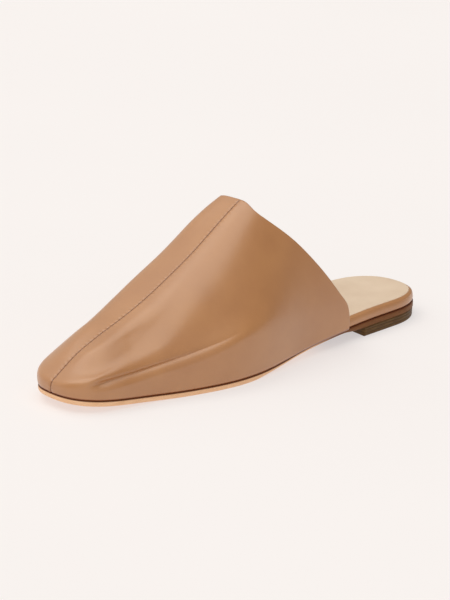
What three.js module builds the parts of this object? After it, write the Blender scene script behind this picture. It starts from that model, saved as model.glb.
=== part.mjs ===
// A flat leather mule for the left foot. Millimetres, Z up, toe towards -Y, outer side of the foot +X.
import * as THREE from 'three';

// Named sizes
const LENGTH = 256;          // toe tip to back of heel
const BALL = 80;             // widest part of the sole
const INSTEP = 88;           // floor to the throat of the vamp
const SOLE = 3;              // leather of the outsole
const HEEL = 5.8;            // stacked heel under the outsole
const TOE_SPRING = 5;        // rise of the toe tip off the floor
const WALL = 1.5;            // leather and lining of the upper
const GAP = 0.3;             // glue line between pieces
const FOOTBED = 6.1;         // padded footbed, board and sock lining together
const SOCK = 1.2;            // sock lining
const WRAP = 1.2;            // leather wrapped round the footbed edge
const LIP = 3.4;             // wrap turned over the top of the footbed
const FLARE = 1.6;           // upper wider than the sole at its rear end
const TOE_ROOM = 4.6;        // footbed kept back from the leaning toe
const WAIST_TUCK = 5.7;      // underside of the sole drawn in below the arch
const BEVEL = 0.7;           // underside edge of the sole drawn in elsewhere
const HEEL_TAPER = 0.9;      // heel drawn in at the floor
const BREAST_HOLLOW = 1.5;   // depth of the hollow front face of the heel
const CHAMFER = 1.2;         // top edge of the footbed board
const MIDLINE = -1.7;        // centre seam, to the inner side of the middle of the width

// Stations along the shoe, as shares of the length
const SPRING_END = 0.26;     // toe spring meets the floor
const ARCH_START = 0.42;     // sole leaves the floor
const ARCH_END = 0.84;       // sole is level over the heel
const BREAST = 0.785;        // front face of the heel
const WRAP_FRONT = 0.3;      // front end of the footbed wrap, deep inside the toe
const TOE_DEPTH = 0.129;
const TOE_POWER = 2.55;
const SEAT_DEPTH = 0.111;
const SEAT_POWER = 2.35;

// The way round the edge runs 0 at the toe tip to 1 at the back of the heel
const TOE_ROUND = 0.22;
const FAN_START = 0.1;       // toe ribs meet the seam from here on
const FAN_JOIN = 0.48;       // ribs stand square to the shoe from here on

// Half widths of the sole as shares of BALL, a row per station
const OUTLINE = [
  { at: 0.00, outer: 0.330, inner: 0.320 },
  { at: 0.08, outer: 0.337, inner: 0.345 },
  { at: 0.16, outer: 0.372, inner: 0.400 },
  { at: 0.26, outer: 0.453, inner: 0.465 },
  { at: 0.36, outer: 0.515, inner: 0.470 },
  { at: 0.46, outer: 0.495, inner: 0.405 },
  { at: 0.58, outer: 0.410, inner: 0.325 },
  { at: 0.70, outer: 0.369, inner: 0.318 },
  { at: 0.82, outer: 0.346, inner: 0.343 },
  { at: 1.00, outer: 0.300, inner: 0.310 },
];

// Height of the centre seam as shares of INSTEP; the last rows guide the sides past the topline
const SPINE = [
  { at: 0.09, up: 0.320 },
  { at: 0.134, up: 0.374 },
  { at: 0.18, up: 0.425 },
  { at: 0.226, up: 0.481 },
  { at: 0.271, up: 0.545 },
  { at: 0.317, up: 0.618 },
  { at: 0.363, up: 0.695 },
  { at: 0.418, up: 0.800 },
  { at: 0.473, up: 0.910 },
  { at: 0.52, up: 0.995 },
  { at: 0.60, up: 1.100 },
  { at: 0.75, up: 1.230 },
];

// Sections from sole edge to seam, a row per place round the edge.
// In is the share of the way to the seam, Up the share of the seam's height.
const OUTER_SIDE = [
  { at: 0.00, belly: 0.00, ridgeIn: 0.12, ridgeUp: 0.36, hollowIn: 0.33, hollowUp: 0.54, crestIn: 0.62, crestUp: 0.78, flat: 0.20 },
  { at: 0.11, belly: 0.02, ridgeIn: 0.04, ridgeUp: 0.44, hollowIn: 0.29, hollowUp: 0.50, crestIn: 0.55, crestUp: 0.90, flat: 0.25 },
  { at: 0.20, belly: 0.03, ridgeIn: 0.02, ridgeUp: 0.48, hollowIn: 0.28, hollowUp: 0.53, crestIn: 0.52, crestUp: 0.93, flat: 0.28 },
  { at: 0.28, belly: 0.03, ridgeIn: 0.01, ridgeUp: 0.50, hollowIn: 0.26, hollowUp: 0.54, crestIn: 0.54, crestUp: 0.94, flat: 0.28 },
  { at: 0.43, belly: 0.03, ridgeIn: 0.00, ridgeUp: 0.46, hollowIn: 0.19, hollowUp: 0.53, crestIn: 0.59, crestUp: 0.92, flat: 0.20 },
  { at: 0.55, belly: 0.03, ridgeIn: 0.00, ridgeUp: 0.35, hollowIn: 0.11, hollowUp: 0.50, crestIn: 0.62, crestUp: 0.97, flat: 0.16 },
  { at: 0.66, belly: 0.02, ridgeIn: 0.00, ridgeUp: 0.26, hollowIn: 0.14, hollowUp: 0.50, crestIn: 0.60, crestUp: 0.97, flat: 0.16 },
  { at: 0.76, belly: 0.02, ridgeIn: 0.00, ridgeUp: 0.22, hollowIn: 0.10, hollowUp: 0.46, crestIn: 0.60, crestUp: 0.97, flat: 0.16 },
];
const INNER_SIDE = [
  { at: 0.00, belly: 0.00, ridgeIn: 0.12, ridgeUp: 0.36, hollowIn: 0.33, hollowUp: 0.54, crestIn: 0.62, crestUp: 0.78, flat: 0.20 },
  { at: 0.11, belly: 0.02, ridgeIn: 0.07, ridgeUp: 0.40, hollowIn: 0.24, hollowUp: 0.56, crestIn: 0.56, crestUp: 0.88, flat: 0.25 },
  { at: 0.20, belly: 0.03, ridgeIn: 0.05, ridgeUp: 0.44, hollowIn: 0.20, hollowUp: 0.62, crestIn: 0.50, crestUp: 0.93, flat: 0.28 },
  { at: 0.28, belly: 0.03, ridgeIn: 0.04, ridgeUp: 0.46, hollowIn: 0.20, hollowUp: 0.66, crestIn: 0.42, crestUp: 0.96, flat: 0.32 },
  { at: 0.43, belly: 0.03, ridgeIn: 0.02, ridgeUp: 0.42, hollowIn: 0.12, hollowUp: 0.62, crestIn: 0.34, crestUp: 0.99, flat: 0.36 },
  { at: 0.55, belly: 0.03, ridgeIn: 0.00, ridgeUp: 0.34, hollowIn: 0.08, hollowUp: 0.60, crestIn: 0.34, crestUp: 1.01, flat: 0.36 },
  { at: 0.66, belly: 0.02, ridgeIn: 0.00, ridgeUp: 0.26, hollowIn: 0.12, hollowUp: 0.55, crestIn: 0.38, crestUp: 1.02, flat: 0.34 },
  { at: 0.76, belly: 0.02, ridgeIn: 0.00, ridgeUp: 0.22, hollowIn: 0.10, hollowUp: 0.50, crestIn: 0.50, crestUp: 1.00, flat: 0.30 },
];

// Station of the topline, a row per level from sole edge (0) to seam (1)
const TOPLINE = [
  { at: 0.000, outer: 0.728, inner: 0.728 },
  { at: 0.167, outer: 0.722, inner: 0.722 },
  { at: 0.333, outer: 0.704, inner: 0.702 },
  { at: 0.500, outer: 0.665, inner: 0.655 },
  { at: 0.667, outer: 0.588, inner: 0.575 },
  { at: 0.750, outer: 0.545, inner: 0.541 },
  { at: 0.833, outer: 0.520, inner: 0.520 },
  { at: 0.917, outer: 0.516, inner: 0.516 },
  { at: 1.000, outer: 0.517, inner: 0.517 },
];

const clamp = (x, low = 0, high = 1) => Math.min(Math.max(x, low), high);
const mix = (a, b, t) => a + (b - a) * t;
const smooth = (t) => clamp(t) ** 2 * (3 - 2 * clamp(t));
const range = (count) => Array.from({ length: count }, (_, i) => i);

// Natural cubic curve through one named column of a table
function curve(rows, name) {
  const x = rows.map((row) => row.at);
  const y = rows.map((row) => row[name]);
  const last = x.length - 1;
  const bend = new Array(last + 1).fill(0);
  const work = new Array(last + 1).fill(0);
  for (let i = 1; i < last; i++) {
    const share = (x[i] - x[i - 1]) / (x[i + 1] - x[i - 1]);
    const pivot = share * bend[i - 1] + 2;
    const turn = (y[i + 1] - y[i]) / (x[i + 1] - x[i]) - (y[i] - y[i - 1]) / (x[i] - x[i - 1]);
    bend[i] = (share - 1) / pivot;
    work[i] = (6 * turn / (x[i + 1] - x[i - 1]) - share * work[i - 1]) / pivot;
  }
  for (let i = last - 1; i > 0; i--) {
    bend[i] = bend[i] * bend[i + 1] + work[i];
  }
  bend[0] = 0;
  return (at) => {
    const t = clamp(at, x[0], x[last]);
    let i = 0;
    while (i < last - 1 && t > x[i + 1]) i++;
    const step = x[i + 1] - x[i];
    const a = (x[i + 1] - t) / step;
    const b = (t - x[i]) / step;
    return a * y[i] + b * y[i + 1] + ((a ** 3 - a) * bend[i] + (b ** 3 - b) * bend[i + 1]) * step ** 2 / 6;
  };
}

const COLUMNS = ['belly', 'ridgeIn', 'ridgeUp', 'hollowIn', 'hollowUp', 'crestIn', 'crestUp', 'flat'];
const sectionCurves = (rows) => Object.fromEntries(COLUMNS.map((name) => [name, curve(rows, name)]));
const SIDES = {
  1: { half: curve(OUTLINE, 'outer'), top: curve(TOPLINE, 'outer'), section: sectionCurves(OUTER_SIDE) },
  '-1': { half: curve(OUTLINE, 'inner'), top: curve(TOPLINE, 'inner'), section: sectionCurves(INNER_SIDE) },
};
const spine = curve(SPINE, 'up');
const seamHeight = (s) => spine(s) * INSTEP;

// Underside of the sole: toe spring, flat tread, arch, level seat
function underside(s) {
  const toe = TOE_SPRING * (1 - clamp(s / SPRING_END)) ** 1.7;
  const arch = HEEL * smooth((s - ARCH_START) / (ARCH_END - ARCH_START));
  return toe + arch;
}
const featherHeight = (s) => SOLE + underside(s);
const stationOf = (y) => y / LENGTH + 0.5;

// Station and fullness of the rounded ends for a way round the edge
const SIDE_RATE = (1 - TOE_DEPTH) / (1 - TOE_ROUND);
const SEAT_WAY = TOE_ROUND + (1 - SEAT_DEPTH - TOE_DEPTH) / SIDE_RATE;
function around(way) {
  if (way < TOE_ROUND) {
    const turn = way / TOE_ROUND * Math.PI / 2;
    const run = Math.cos(turn) ** (2 / TOE_POWER);
    return { s: TOE_DEPTH * (1 - run), full: Math.sin(turn) ** (2 / TOE_POWER) };
  }
  if (way > SEAT_WAY) {
    const turn = clamp((1 - way) / (1 - SEAT_WAY)) * Math.PI / 2;
    const run = Math.cos(turn) ** (2 / SEAT_POWER);
    return { s: 1 - SEAT_DEPTH * (1 - run), full: Math.sin(turn) ** (2 / SEAT_POWER) };
  }
  return { s: TOE_DEPTH + (way - TOE_ROUND) * SIDE_RATE, full: 1 };
}
const wayOf = (s) => TOE_ROUND + (s - TOE_DEPTH) / SIDE_RATE;

// Point on the sole's edge, and the same point moved outward by a distance
function edge(way, side) {
  const { s, full } = around(clamp(way));
  return [side * SIDES[side].half(s) * BALL * full, (s - 0.5) * LENGTH];
}
function edgeOut(way, side, out) {
  const [x, y] = edge(way, side);
  if (way <= 0) return [0, y - out];
  if (way >= 1) return [0, y + out];
  const [ax, ay] = edge(way - 0.002, side);
  const [bx, by] = edge(way + 0.002, side);
  const length = Math.hypot(bx - ax, by - ay);
  return [x + side * (by - ay) / length * out, y - side * (bx - ax) / length * out];
}
const flare = (s) => FLARE * smooth((s - 0.4) / 0.35);
const footbedOut = (s) => flare(s) - WALL - GAP;

// Closed body from points and triangles, corners welded, slivers dropped
function body(name, points, triangles, colour, roughness) {
  const seen = new Map();
  const kept = [];
  const ids = points.map((point) => {
    const key = point.map((value) => Math.round(value * 1000)).join(' ');
    if (!seen.has(key)) {
      seen.set(key, kept.length / 3);
      kept.push(point[0] + MIDLINE, point[1], point[2]);
    }
    return seen.get(key);
  });
  const index = [];
  for (const triangle of triangles) {
    const [a, b, c] = triangle.map((corner) => ids[corner]);
    if (a !== b && b !== c && c !== a) index.push(a, b, c);
  }
  const geometry = new THREE.BufferGeometry();
  geometry.setAttribute('position', new THREE.Float32BufferAttribute(kept, 3));
  geometry.setIndex(index);
  geometry.computeVertexNormals();
  const material = new THREE.MeshStandardMaterial({ color: colour, roughness });
  const mesh = new THREE.Mesh(geometry, material);
  mesh.name = name;
  return mesh;
}

// Two triangles between neighbouring places of two rows
const quad = (a, b, c, d) => [[a, b, c], [a, c, d]];

// Ways from a starting place to the back of the heel, closer together round the seat
const SEAT_STEPS = 16;
function waysFrom(start, steps) {
  const along = range(steps).map((i) => mix(start, SEAT_WAY, i / steps));
  const seat = range(SEAT_STEPS + 1).map((i) => mix(SEAT_WAY, 1, i / SEAT_STEPS));
  return [...along, ...seat];
}

// Places down the outer side to the heel and back up the inner side
function placesFrom(start, steps) {
  const ways = waysFrom(start, steps);
  const outer = ways.map((way) => ({ way, side: 1 }));
  const inner = ways.slice(0, -1).reverse().map((way) => ({ way, side: -1 }));
  return [...outer, ...inner];
}

// Plate with a closed edge, from rings listed bottom to top
function plate(name, steps, rings, colour, roughness) {
  const places = placesFrom(0, steps).slice(0, -1);
  const size = places.length;
  const points = [];
  for (const ring of rings) {
    for (const { way, side } of places) {
      const { s } = around(way);
      const [x, y] = edgeOut(way, side, ring.out(s, way));
      points.push([x, y, ring.up(stationOf(y))]);
    }
  }
  const triangles = [];
  for (let r = 0; r < rings.length - 1; r++) {
    for (let i = 0; i < size; i++) {
      const j = (i + 1) % size;
      triangles.push(...quad(r * size + i, r * size + j, (r + 1) * size + j, (r + 1) * size + i));
    }
  }
  const top = (rings.length - 1) * size;
  for (let i = 0; i < size / 2; i++) {
    const a = i;
    const b = i + 1;
    const c = (size - i - 1) % size;
    const d = (size - i) % size;
    triangles.push(...quad(d, c, b, a));
    triangles.push(...quad(top + a, top + b, top + c, top + d));
  }
  return body(name, points, triangles, colour, roughness);
}

// Outsole with a bevelled, tucked-in waist under the arch
function outsole() {
  const waist = (s) => smooth((s - 0.4) / 0.15) * (1 - smooth((s - 0.7) / 0.06));
  const rings = [
    { out: (s) => -mix(BEVEL, WAIST_TUCK, waist(s)), up: (s) => underside(s) },
    { out: (s) => -0.3 * WAIST_TUCK * waist(s), up: (s) => underside(s) + 0.3 * SOLE },
    { out: () => 0, up: (s) => underside(s) + 0.8 * SOLE },
    { out: () => -0.6 * BEVEL, up: (s) => featherHeight(s) },
  ];
  return plate('outsole', 44, rings, 0xd9ae84, 0.7);
}

// Inset that keeps the footbed clear of the leaning toe
const toeRoom = (way) => TOE_ROOM * (1 - clamp(way / 0.25)) ** 1.5;

// Footbed board under the lining, inside the upper and the wrap
function insoleBoard() {
  const inset = (s, way) => footbedOut(s) - WRAP - GAP - toeRoom(way);
  const top = FOOTBED - SOCK - GAP;
  const rings = [
    { out: inset, up: (s) => featherHeight(s) + GAP },
    { out: inset, up: (s) => featherHeight(s) + top - CHAMFER },
    { out: (s, way) => inset(s, way) - CHAMFER, up: (s) => featherHeight(s) + top },
  ];
  return plate('insole_board', 34, rings, 0xb98d63, 0.8);
}

// Cream sock lining over the board, its rear edge butted to the turned-over wrap
function sockLining() {
  const rear = (s) => smooth((s - WRAP_FRONT + 0.1) / 0.08);
  const inset = (s, way) => footbedOut(s) - mix(GAP + 1.3 * toeRoom(way), LIP + GAP, rear(s));
  const base = FOOTBED - SOCK;
  const rings = [
    { out: inset, up: (s) => featherHeight(s) + base },
    { out: inset, up: (s) => featherHeight(s) + base + 0.7 * SOCK },
    { out: (s, way) => inset(s, way) - 0.5 * SOCK, up: (s) => featherHeight(s) + FOOTBED },
  ];
  return plate('sock_lining', 34, rings, 0xe3cbb0, 0.85);
}

// Rounded outside of the wrap, in as shares of LIP and up as shares of FOOTBED
const ROLL = [
  { in: 0.20, up: 0.05 },
  { in: 0.03, up: 0.20 },
  { in: 0.00, up: 0.45 },
  { in: 0.09, up: 0.69 },
  { in: 0.30, up: 0.87 },
  { in: 0.62, up: 0.98 },
  { in: 0.97, up: 1.00 },
];

// Leather wrap round the edge of the footbed: wall, rounded shoulder, turned-over lip
function rimWrap() {
  const under = FOOTBED - SOCK;
  const section = [
    ...ROLL.map((row) => ({ inset: row.in * LIP, up: row.up * FOOTBED })),
    { inset: 0.97 * LIP, up: under },
    { inset: 2 * WRAP, up: under },
    { inset: WRAP, up: under - CHAMFER },
    { inset: WRAP, up: GAP },
  ];
  const places = placesFrom(wayOf(WRAP_FRONT), 24);
  const ring = section.length;
  const points = [];
  for (const { way, side } of places) {
    const { s } = around(way);
    for (const row of section) {
      const [x, y] = edgeOut(way, side, footbedOut(s) - row.inset);
      points.push([x, y, featherHeight(stationOf(y)) + row.up]);
    }
  }
  const triangles = [];
  for (let i = 0; i < places.length - 1; i++) {
    for (let r = 0; r < ring; r++) {
      const n = (r + 1) % ring;
      triangles.push(...quad(i * ring + r, (i + 1) * ring + r, (i + 1) * ring + n, i * ring + n));
    }
  }
  const end = section.map((row) => new THREE.Vector2(-row.inset, row.up));
  const flatEnd = THREE.ShapeUtils.triangulateShape(end, []);
  const lastRing = (places.length - 1) * ring;
  for (const [a, b, c] of flatEnd) {
    triangles.push([a, b, c], [lastRing + c, lastRing + b, lastRing + a]);
  }
  return body('rim_wrap', points, triangles, 0xbf906a, 0.55);
}

// Low stacked heel with a shallow hollow breast
function heel() {
  const columns = 6;
  const ways = waysFrom(wayOf(BREAST), 8);
  const rows = ways.length - 1;
  const points = [];
  const layers = [
    { out: -HEEL_TAPER, up: () => 0 },
    { out: -0.6 * HEEL_TAPER, up: () => 0.1 * HEEL },
    { out: -0.3 * HEEL_TAPER, up: (s) => underside(s) - GAP },
  ];
  for (const layer of layers) {
    for (const i of range(rows + 1)) {
      const [ax, ay] = edgeOut(ways[i], 1, layer.out);
      const [bx, by] = edgeOut(ways[i], -1, layer.out);
      for (const j of range(columns + 1)) {
        const across = j / columns;
        const hollow = BREAST_HOLLOW * (1 - (2 * across - 1) ** 2) * (1 - smooth(i / (rows * 0.6)));
        const y = mix(ay, by, across) + hollow;
        points.push([mix(ax, bx, across), y, layer.up(stationOf(y))]);
      }
    }
  }
  const width = columns + 1;
  const size = (rows + 1) * width;
  const id = (layer, i, j) => layer * size + i * width + j;
  const triangles = [];
  const top = layers.length - 1;
  for (const i of range(rows)) {
    for (const j of range(columns)) {
      triangles.push(...quad(id(0, i, j), id(0, i, j + 1), id(0, i + 1, j + 1), id(0, i + 1, j)));
      triangles.push(...quad(id(top, i, j), id(top, i + 1, j), id(top, i + 1, j + 1), id(top, i, j + 1)));
    }
  }
  for (const layer of range(top)) {
    for (const i of range(rows)) {
      triangles.push(...quad(id(layer, i, 0), id(layer, i + 1, 0), id(layer + 1, i + 1, 0), id(layer + 1, i, 0)));
      triangles.push(...quad(id(layer, i + 1, columns), id(layer, i, columns), id(layer + 1, i, columns), id(layer + 1, i + 1, columns)));
    }
    for (const j of range(columns)) {
      triangles.push(...quad(id(layer, 0, j + 1), id(layer, 0, j), id(layer + 1, 0, j), id(layer + 1, 0, j + 1)));
    }
  }
  return body('heel', points, triangles, 0x5f4329, 0.6);
}

// Cubic blend of eight control points from sole edge (0) to seam (1)
function blend(level, controls) {
  const knots = [0, 0, 0, 0, 0.2, 0.4, 0.6, 0.8, 1, 1, 1, 1];
  const k = clamp(level, 0, 1 - 1e-9);
  let weights = range(11).map((i) => (knots[i] <= k && k < knots[i + 1] ? 1 : 0));
  for (const degree of [1, 2, 3]) {
    weights = range(weights.length - 1).map((i) => {
      const left = knots[i + degree] - knots[i];
      const right = knots[i + degree + 1] - knots[i + 1];
      const a = left > 0 ? (k - knots[i]) / left * weights[i] : 0;
      const b = right > 0 ? (knots[i + degree + 1] - k) / right * weights[i + 1] : 0;
      return a + b;
    });
  }
  return controls.reduce((sum, value, i) => sum + value * weights[i], 0);
}

// Where a rib from this place on the edge meets the seam
function seamStation(way) {
  const { s } = around(way);
  if (way >= FAN_JOIN) return s;
  const joined = around(FAN_JOIN).s;
  const bow = (SIDE_RATE * FAN_JOIN - (joined - FAN_START)) / FAN_JOIN ** 2;
  const slope = SIDE_RATE - 2 * bow * FAN_JOIN;
  return FAN_START + slope * way + bow * way ** 2;
}

// Point on the outside of the upper
function upperPoint(way, level, side) {
  const { s, full } = around(way);
  const x = side * (SIDES[side].half(s) * BALL + flare(s)) * full;
  const y = (s - 0.5) * LENGTH;
  const z = featherHeight(s) + GAP;
  const target = seamStation(way);
  const targetY = (target - 0.5) * LENGTH;
  const rise = seamHeight(target) - z;
  const pitch = (seamHeight(target + 0.001) - seamHeight(target - 0.001)) / (0.002 * LENGTH);
  const lean = pitch * (targetY - y) / rise;
  const row = Object.fromEntries(COLUMNS.map((name) => [name, SIDES[side].section[name](way)]));
  const inward = blend(level, [
    0, -row.belly, -row.belly, row.ridgeIn, row.hollowIn, row.crestIn, 1 - row.flat, 1,
  ]);
  const upward = blend(level, [
    0, row.ridgeUp * 0.33, row.ridgeUp * 0.75, row.ridgeUp, row.hollowUp, row.crestUp, 1 - row.flat * lean, 1,
  ]);
  return [x * (1 - inward), mix(y, targetY, inward), z + rise * upward];
}

// Hollow upper: outside, inside offset by the wall, open at the topline and underneath
function upper() {
  const ribs = 44;
  const levels = 18;
  const ids = new Map();
  const outside = [];
  const id = (side, i, j) => {
    const shared = i === 0 || j === levels ? 1 : side;
    const key = `${shared} ${i} ${j}`;
    if (!ids.has(key)) {
      const level = j / levels;
      const end = wayOf(SIDES[side].top(level));
      ids.set(key, outside.length);
      outside.push(upperPoint(end * i / ribs, level, shared));
    }
    return ids.get(key);
  };
  const skin = [];
  for (const side of [1, -1]) {
    for (const i of range(ribs)) {
      for (const j of range(levels)) {
        const corners = [id(side, i, j), id(side, i + 1, j), id(side, i + 1, j + 1), id(side, i, j + 1)];
        if (side < 0) corners.reverse();
        skin.push(...quad(...corners));
      }
    }
  }
  const shell = new THREE.BufferGeometry();
  shell.setAttribute('position', new THREE.Float32BufferAttribute(outside.flat(), 3));
  shell.setIndex(skin.flat());
  shell.computeVertexNormals();
  const normal = shell.getAttribute('normal');
  const count = outside.length;
  const inside = outside.map(([x, y, z], i) => [
    x - WALL * normal.getX(i),
    y - WALL * normal.getY(i),
    z - WALL * normal.getZ(i),
  ]);
  for (const side of [1, -1]) {
    for (const i of range(ribs + 1)) {
      const foot = id(side, i, 0);
      const flatLength = Math.hypot(normal.getX(foot), normal.getY(foot));
      inside[foot][0] = outside[foot][0] - WALL * normal.getX(foot) / flatLength;
      inside[foot][1] = outside[foot][1] - WALL * normal.getY(foot) / flatLength;
      inside[foot][2] = outside[foot][2];
    }
  }
  const triangles = [...skin, ...skin.map(([a, b, c]) => [count + c, count + b, count + a])];
  const strip = (a, b) => triangles.push(...quad(a, count + a, count + b, b));
  for (const i of range(ribs)) {
    strip(id(1, i, 0), id(1, i + 1, 0));
    strip(id(-1, i + 1, 0), id(-1, i, 0));
  }
  for (const j of range(levels)) {
    strip(id(1, ribs, j), id(1, ribs, j + 1));
    strip(id(-1, ribs, j + 1), id(-1, ribs, j));
  }
  return body('upper', [...outside, ...inside], triangles, 0xbf906a, 0.5);
}

const mule = new THREE.Group();
mule.name = 'mule';
mule.add(outsole(), heel(), insoleBoard(), sockLining(), rimWrap(), upper());
export default mule;
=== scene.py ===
# %% [markdown]
# # A flat leather mule for the left foot
# The shoe is a high leather vamp sewn down the middle, a padded footbed with a wrapped edge, a thin
# leather sole and a low stacked heel. The imported solids give the true sizes. This lesson dresses
# each of them with a finer surface, in metres, toe towards -Y and the outer side of the foot at +X.

# %% The solids
import math

import bmesh
import bpy
import numpy as np
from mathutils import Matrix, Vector


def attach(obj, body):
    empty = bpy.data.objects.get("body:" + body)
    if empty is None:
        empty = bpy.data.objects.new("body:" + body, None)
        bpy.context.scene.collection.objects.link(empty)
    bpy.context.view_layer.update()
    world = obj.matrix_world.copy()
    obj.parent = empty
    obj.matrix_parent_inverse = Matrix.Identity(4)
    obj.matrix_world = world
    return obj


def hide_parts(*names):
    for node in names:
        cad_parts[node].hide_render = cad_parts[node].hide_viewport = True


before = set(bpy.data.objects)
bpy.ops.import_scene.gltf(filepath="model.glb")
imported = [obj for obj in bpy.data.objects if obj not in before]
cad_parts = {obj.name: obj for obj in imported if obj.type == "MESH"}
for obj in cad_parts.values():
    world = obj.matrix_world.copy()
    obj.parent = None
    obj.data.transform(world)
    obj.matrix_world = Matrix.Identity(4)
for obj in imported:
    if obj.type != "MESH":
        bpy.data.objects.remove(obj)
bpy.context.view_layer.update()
print("solids:", sorted(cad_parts))

# %% [markdown]
# ## Sizes
# A shoe is built on a last, a wooden foot whose sections change along its length. A few named sizes
# and short tables of shares describe it. One natural cubic curve through each column joins the rows,
# so a row can be moved by hand and the leather still flows.

# %% Named sizes in metres
LENGTH = 0.256
BALL = 0.080
INSTEP = 0.088
SOLE = 0.003
HEEL = 0.0058
TOE_SPRING = 0.005
WALL = 0.0015
GAP = 0.0003
FOOTBED = 0.0061
SOCK = 0.0012
WRAP = 0.0012
LIP = 0.0034
FLARE = 0.0016
TOE_ROOM = 0.0046
WAIST_TUCK = 0.0057
BEVEL = 0.0007
HEEL_TAPER = 0.0009
BREAST_HOLLOW = 0.0015
CHAMFER = 0.0012
MIDLINE = -0.0017

SPRING_END = 0.26
ARCH_START = 0.42
ARCH_END = 0.84
BREAST = 0.785
WRAP_FRONT = 0.3
TOE_DEPTH = 0.129
TOE_POWER = 2.55
SEAT_DEPTH = 0.111
SEAT_POWER = 2.35
TOE_ROUND = 0.22
FAN_START = 0.1
FAN_JOIN = 0.48

# %% Tables of the last
OUTLINE_COLUMNS = ("at", "outer", "inner")
OUTLINE = [
    (0.00, 0.330, 0.320),
    (0.08, 0.337, 0.345),
    (0.16, 0.372, 0.400),
    (0.26, 0.453, 0.465),
    (0.36, 0.515, 0.470),
    (0.46, 0.495, 0.405),
    (0.58, 0.410, 0.325),
    (0.70, 0.369, 0.318),
    (0.82, 0.346, 0.343),
    (1.00, 0.300, 0.310),
]

SPINE_COLUMNS = ("at", "up")
SPINE = [
    (0.09, 0.320),
    (0.134, 0.374),
    (0.18, 0.425),
    (0.226, 0.481),
    (0.271, 0.545),
    (0.317, 0.618),
    (0.363, 0.695),
    (0.418, 0.800),
    (0.473, 0.910),
    (0.52, 0.995),
    (0.60, 1.100),
    (0.75, 1.230),
]

SECTION_COLUMNS = (
    "at", "belly", "ridge_in", "ridge_up", "hollow_in", "hollow_up", "crest_in", "crest_up", "flat",
)
OUTER_SIDE = [
    (0.00, 0.00, 0.12, 0.36, 0.33, 0.54, 0.62, 0.78, 0.20),
    (0.11, 0.02, 0.04, 0.44, 0.29, 0.50, 0.55, 0.90, 0.25),
    (0.20, 0.03, 0.02, 0.48, 0.28, 0.53, 0.52, 0.93, 0.28),
    (0.28, 0.03, 0.01, 0.50, 0.26, 0.54, 0.54, 0.94, 0.28),
    (0.43, 0.03, 0.00, 0.46, 0.19, 0.53, 0.59, 0.92, 0.20),
    (0.55, 0.03, 0.00, 0.35, 0.11, 0.50, 0.62, 0.97, 0.16),
    (0.66, 0.02, 0.00, 0.26, 0.14, 0.50, 0.60, 0.97, 0.16),
    (0.76, 0.02, 0.00, 0.22, 0.10, 0.46, 0.60, 0.97, 0.16),
]
INNER_SIDE = [
    (0.00, 0.00, 0.12, 0.36, 0.33, 0.54, 0.62, 0.78, 0.20),
    (0.11, 0.02, 0.07, 0.40, 0.24, 0.56, 0.56, 0.88, 0.25),
    (0.20, 0.03, 0.05, 0.44, 0.20, 0.62, 0.50, 0.93, 0.28),
    (0.28, 0.03, 0.04, 0.46, 0.20, 0.66, 0.42, 0.96, 0.32),
    (0.43, 0.03, 0.02, 0.42, 0.12, 0.62, 0.34, 0.99, 0.36),
    (0.55, 0.03, 0.00, 0.34, 0.08, 0.60, 0.34, 1.01, 0.36),
    (0.66, 0.02, 0.00, 0.26, 0.12, 0.55, 0.38, 1.02, 0.34),
    (0.76, 0.02, 0.00, 0.22, 0.10, 0.50, 0.50, 1.00, 0.30),
]

TOPLINE_COLUMNS = ("at", "outer", "inner")
TOPLINE = [
    (0.000, 0.728, 0.728),
    (0.167, 0.722, 0.722),
    (0.333, 0.704, 0.702),
    (0.500, 0.665, 0.655),
    (0.667, 0.588, 0.575),
    (0.750, 0.545, 0.541),
    (0.833, 0.520, 0.520),
    (0.917, 0.516, 0.516),
    (1.000, 0.517, 0.517),
]


# %% Curves through the tables
def curve(columns, rows, name):
    """Natural cubic curve through one named column."""
    x = np.array([row[0] for row in rows])
    y = np.array([row[columns.index(name)] for row in rows])
    step = np.diff(x)
    last = len(x) - 1
    system = np.eye(last + 1)
    turn = np.zeros(last + 1)
    for i in range(1, last):
        system[i, i - 1:i + 2] = step[i - 1], 2 * (step[i - 1] + step[i]), step[i]
        turn[i] = 6 * ((y[i + 1] - y[i]) / step[i] - (y[i] - y[i - 1]) / step[i - 1])
    bend = np.linalg.solve(system, turn)

    def value(at):
        t = np.clip(at, x[0], x[last])
        i = np.clip(np.searchsorted(x, t) - 1, 0, last - 1)
        a = (x[i + 1] - t) / step[i]
        b = (t - x[i]) / step[i]
        sag = ((a ** 3 - a) * bend[i] + (b ** 3 - b) * bend[i + 1]) * step[i] ** 2 / 6
        return a * y[i] + b * y[i + 1] + sag

    return value


def smooth(t):
    t = np.clip(t, 0, 1)
    return t * t * (3 - 2 * t)


def mix(a, b, t):
    return a + (b - a) * t


def sections(rows):
    return {name: curve(SECTION_COLUMNS, rows, name) for name in SECTION_COLUMNS[1:]}


SIDES = {
    1: {
        "half": curve(OUTLINE_COLUMNS, OUTLINE, "outer"),
        "top": curve(TOPLINE_COLUMNS, TOPLINE, "outer"),
        "section": sections(OUTER_SIDE),
    },
    -1: {
        "half": curve(OUTLINE_COLUMNS, OUTLINE, "inner"),
        "top": curve(TOPLINE_COLUMNS, TOPLINE, "inner"),
        "section": sections(INNER_SIDE),
    },
}
spine = curve(SPINE_COLUMNS, SPINE, "up")


def seam_height(s):
    return spine(s) * INSTEP


def underside(s):
    """Height of the sole's underside: toe spring, flat tread, arch, level seat."""
    toe = TOE_SPRING * (1 - np.clip(s / SPRING_END, 0, 1)) ** 1.7
    return toe + HEEL * smooth((s - ARCH_START) / (ARCH_END - ARCH_START))


def feather_height(s):
    return SOLE + underside(s)


def station_of(y):
    return y / LENGTH + 0.5


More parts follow.
